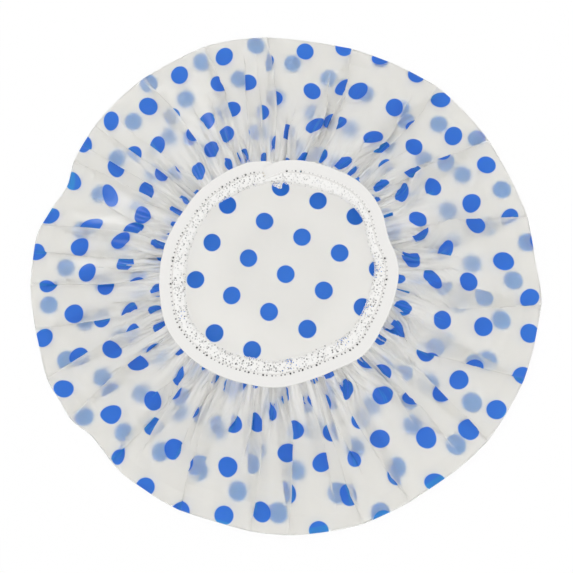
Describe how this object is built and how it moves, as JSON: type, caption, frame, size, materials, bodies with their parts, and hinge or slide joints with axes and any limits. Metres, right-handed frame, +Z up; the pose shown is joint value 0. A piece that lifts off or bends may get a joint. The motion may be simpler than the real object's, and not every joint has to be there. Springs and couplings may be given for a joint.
{
  "type": "shower cap",
  "caption": "Round bathing cap of see-through dotted film, folded over at the rim and gathered into an elastic, lace-edged opening, lying on its crown.",
  "frame": {"origin": "on the resting face of the crown, under the middle of the folded rim", "axes": "+Z up through the opening, from the crown to the trim; +Y towards the trim's overlapped join; +X to the right of the join seen from above"},
  "size_m": [0.2785, 0.2753, 0.0248],
  "materials": {
    "film": "frosted see-through film with printed dots",
    "elastic": "matt knitted band",
    "lace": "matt knitted lace",
    "thread": "spun sewing thread",
    "rubber": "cut rubber thread"
  },
  "bodies": {
    "root": {"film_shell": "film", "elastic_tape": "elastic", "lace_edging": "lace", "needle_thread": "thread", "bobbin_thread": "thread", "rubber_strand_1": "rubber", "rubber_strand_2": "rubber", "rubber_strand_3": "rubber"}
  },
  "joints": []
}
